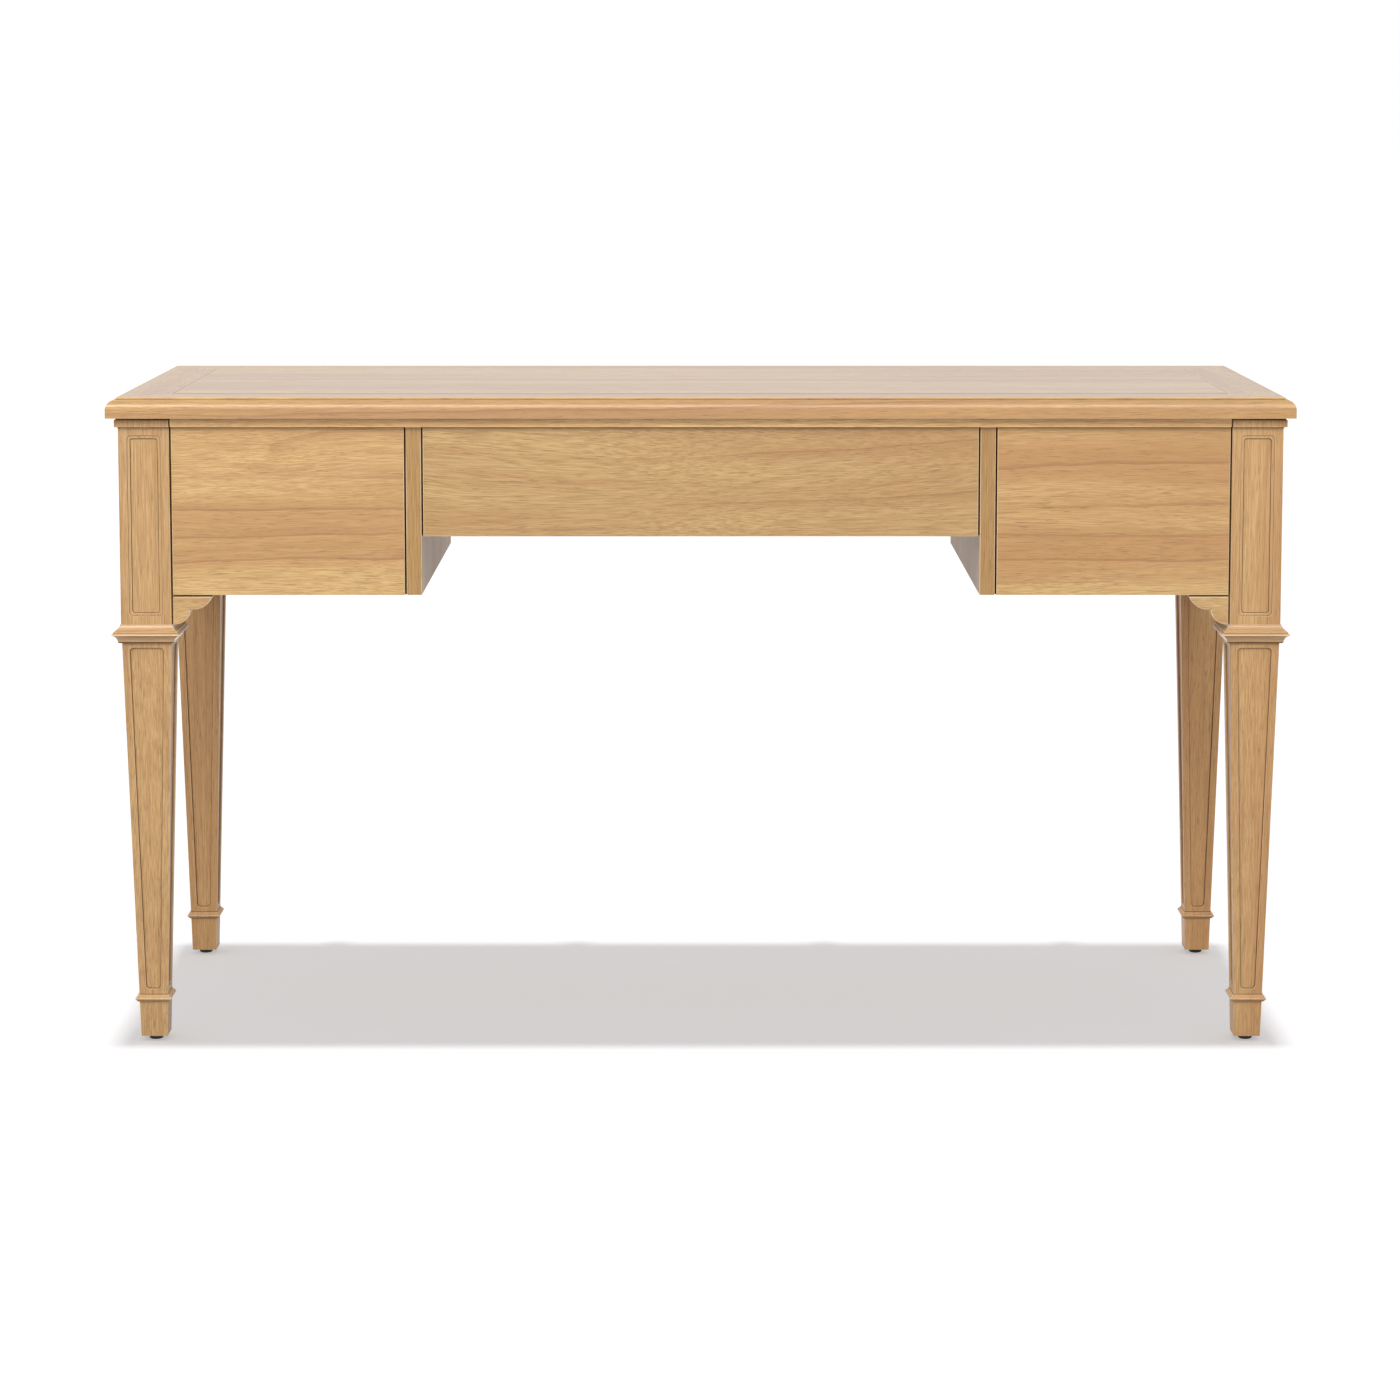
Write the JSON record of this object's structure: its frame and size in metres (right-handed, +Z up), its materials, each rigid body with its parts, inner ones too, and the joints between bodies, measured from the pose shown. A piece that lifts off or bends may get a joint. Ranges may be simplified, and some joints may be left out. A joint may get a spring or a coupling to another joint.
{
  "type": "writing desk",
  "caption": "Wooden writing desk with a moulded top, kneehole, square tapered legs with collars and sunk panels, plain panelled back and sliding drawers.",
  "frame": {"origin": "on the floor, under the middle of the top", "axes": "+X along the desk, -Y out of the drawer side where the sitter is, +Y out of the plain back, +Z up"},
  "size_m": [1.4, 0.536, 0.778],
  "materials": {
    "top_wood": "satin lacquer, straight honey-tan grain along the desk",
    "case_wood": "satin lacquer, honey-tan with soft reddish streaks",
    "leg_wood": "satin lacquer, honey-tan with upright grain",
    "inner_wood": "plain sealed board",
    "drawer_wood": "pale sealed drawer-box wood",
    "knob_brass": "aged brushed brass",
    "glide_plastic": "black moulded plastic"
  },
  "bodies": {
    "case": {"back_panel_centre": "case_wood", "back_panel_left": "case_wood", "back_panel_right": "case_wood", "bracket_back_left": "case_wood", "bracket_back_right": "case_wood", "bracket_end_back_left": "case_wood", "bracket_end_back_right": "case_wood", "bracket_end_front_left": "case_wood", "bracket_end_front_right": "case_wood", "bracket_front_left": "case_wood", "bracket_front_right": "case_wood", "centre_drawer_runners": "drawer_wood", "divider_left": "leg_wood", "divider_right": "leg_wood", "end_panel_left": "case_wood", "end_panel_right": "case_wood", "floor_glides": "glide_plastic", "left_drawer_runners": "drawer_wood", "leg_back_left": "leg_wood", "leg_back_right": "leg_wood", "leg_collar_back_left": "leg_wood", "leg_collar_back_right": "leg_wood", "leg_collar_front_left": "leg_wood", "leg_collar_front_right": "leg_wood", "leg_front_left": "leg_wood", "leg_front_right": "leg_wood", "pedestal_bottom_left": "inner_wood", "pedestal_bottom_right": "inner_wood", "right_drawer_runners": "drawer_wood", "strip_back": "case_wood", "strip_front": "case_wood", "strip_left": "case_wood", "strip_right": "case_wood", "top_border_back": "top_wood", "top_border_front": "top_wood", "top_border_left": "top_wood", "top_border_right": "top_wood", "top_panel": "top_wood", "top_rail_back": "inner_wood", "top_rail_front": "inner_wood"},
    "centre_drawer": {"centre_drawer_back": "drawer_wood", "centre_drawer_bottom": "drawer_wood", "centre_drawer_front": "case_wood", "centre_drawer_knobs": "knob_brass", "centre_drawer_side_left": "drawer_wood", "centre_drawer_side_right": "drawer_wood"},
    "left_drawer": {"left_drawer_back": "drawer_wood", "left_drawer_bottom": "drawer_wood", "left_drawer_front": "case_wood", "left_drawer_knob": "knob_brass", "left_drawer_side_left": "drawer_wood", "left_drawer_side_right": "drawer_wood"},
    "right_drawer": {"right_drawer_back": "drawer_wood", "right_drawer_bottom": "drawer_wood", "right_drawer_front": "case_wood", "right_drawer_knob": "knob_brass", "right_drawer_side_left": "drawer_wood", "right_drawer_side_right": "drawer_wood"}
  },
  "joints": [
    {"name": "centre_drawer_slide", "type": "slide", "parent": "case", "child": "centre_drawer", "axis": [0, -1, 0], "range_m": [0, 0.31]},
    {"name": "left_drawer_slide", "type": "slide", "parent": "case", "child": "left_drawer", "axis": [0, -1, 0], "range_m": [0, 0.31]},
    {"name": "right_drawer_slide", "type": "slide", "parent": "case", "child": "right_drawer", "axis": [0, -1, 0], "range_m": [0, 0.31]}
  ]
}
